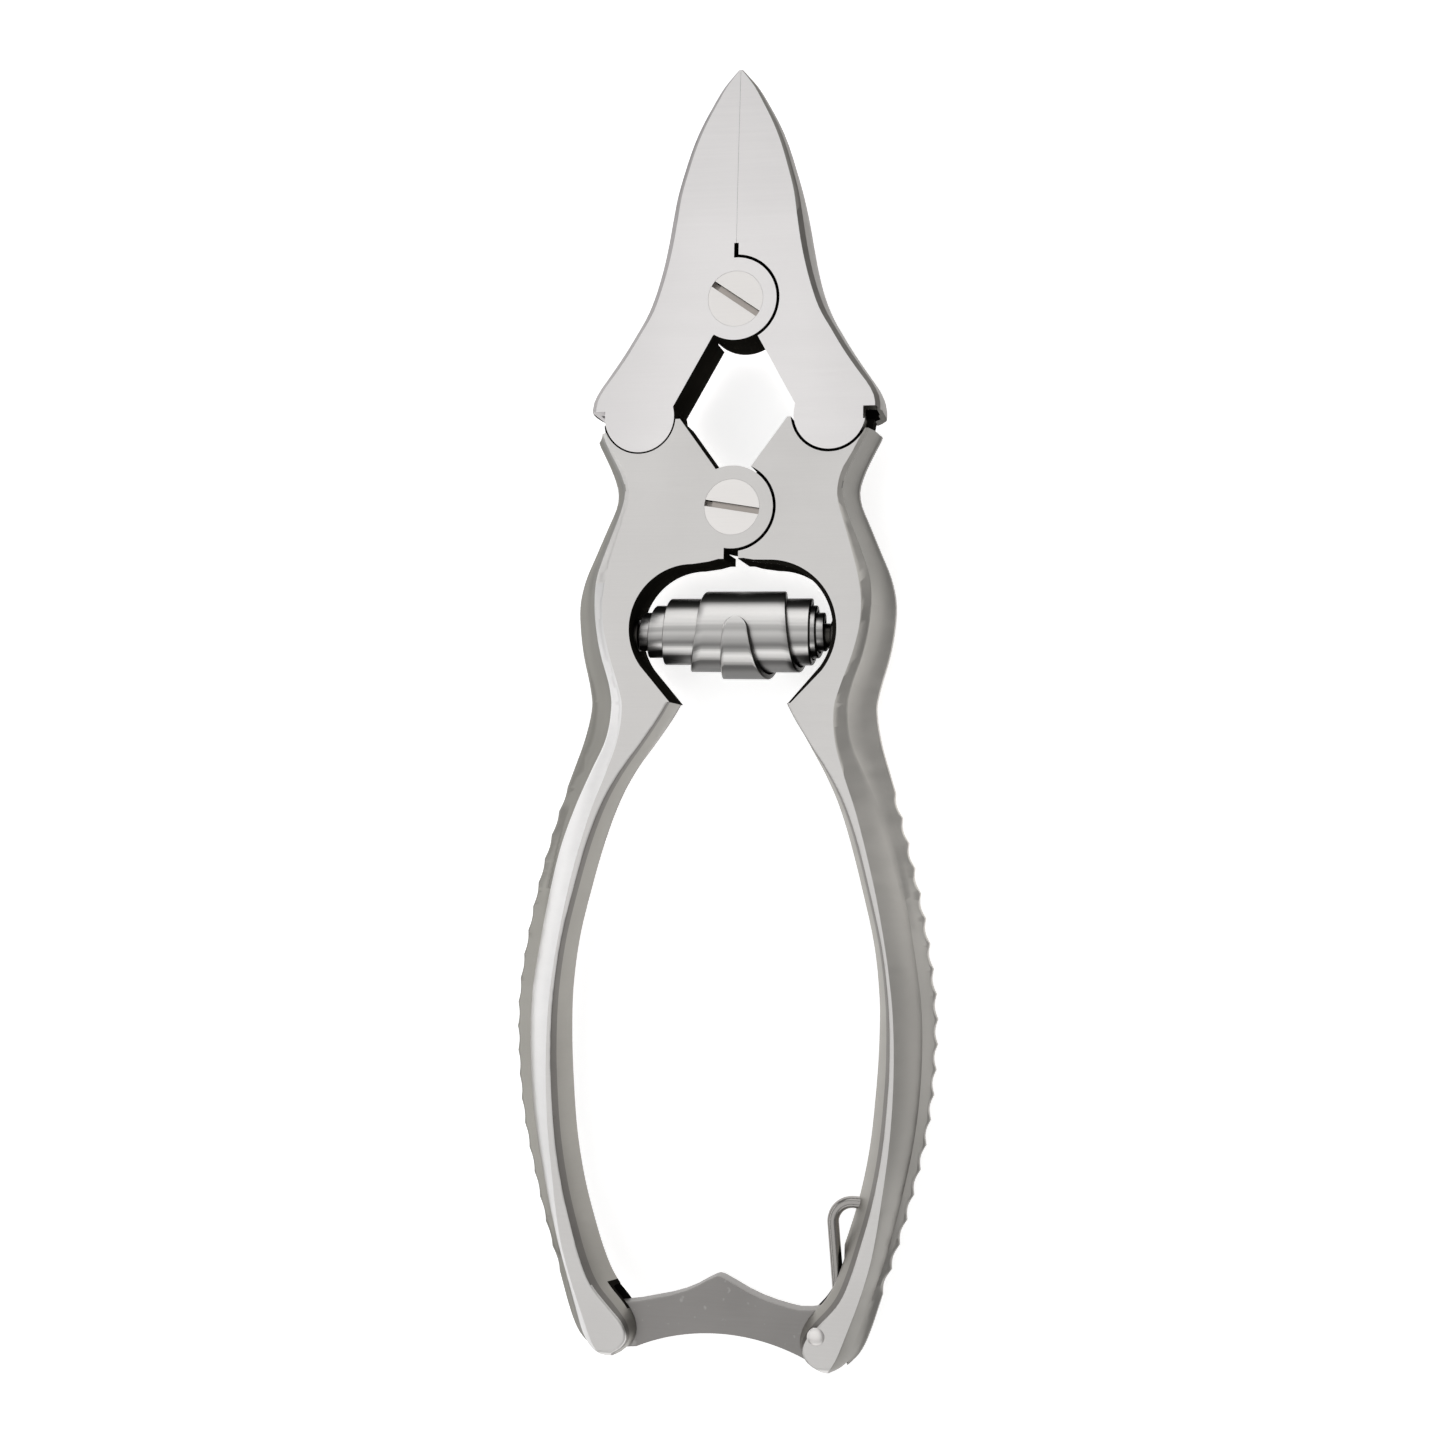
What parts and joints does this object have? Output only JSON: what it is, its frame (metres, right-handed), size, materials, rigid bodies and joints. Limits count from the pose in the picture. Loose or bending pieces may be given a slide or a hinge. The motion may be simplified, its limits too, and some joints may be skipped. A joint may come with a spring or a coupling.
{
  "type": "nail nipper",
  "caption": "Compound-action nail nipper with pointed jaws, knuckle links, a barrel spring, scalloped grips and a hinged latch bar.",
  "frame": {"origin": "centre of the overall box, at mid thickness and half way between the blade tips and the handle ends", "axes": "+Y along the tool to the blade tips, +Z out of the front face with the screw heads, +X to the side of the latch pin"},
  "size_m": [0.0508, 0.1533, 0.0108],
  "materials": {
    "satin_steel": "satin brushed",
    "screw_steel": "fine satin",
    "spring_steel": "polished",
    "dark_steel": "dull satin"
  },
  "bodies": {
    "left_handle": {"handle_left": "satin_steel", "barrel_spring": "spring_steel", "spring_seat_left": "dark_steel"},
    "right_handle": {"handle_right": "satin_steel", "handle_screw": "screw_steel", "spring_seat_right": "dark_steel", "latch_pin": "screw_steel", "latch_spring": "dark_steel"},
    "left_jaw": {"jaw_left": "satin_steel"},
    "right_jaw": {"jaw_right": "satin_steel", "jaw_screw": "screw_steel"},
    "latch": {"latch_bar": "dark_steel"}
  },
  "joints": [
    {"name": "handle_pivot", "type": "hinge", "parent": "left_handle", "child": "right_handle", "pos_m": [0, 0.0238, 0], "axis": [0, 0, 1], "range_deg": [0, 20], "deforming": ["barrel_spring"]},
    {"name": "knuckle_left", "type": "hinge", "parent": "left_handle", "child": "left_jaw", "pos_m": [-0.01145, 0.03475, 0], "axis": [0, 0, 1], "range_deg": [0, 18.2]},
    {"name": "jaw_pivot", "type": "hinge", "parent": "left_jaw", "child": "right_jaw", "pos_m": [0, 0.0486, 0], "axis": [0, 0, 1], "range_deg": [-16.4, 0]},
    {"name": "latch_swing", "type": "hinge", "parent": "right_handle", "child": "latch", "pos_m": [0.0116, -0.07205, 0], "axis": [0, 0, 1], "range_deg": [0, 90]}
  ],
  "couplings": [
    {"joint": "knuckle_left", "follows": "handle_pivot", "ratio": 0.905},
    {"joint": "jaw_pivot", "follows": "handle_pivot", "ratio": -0.8101}
  ]
}
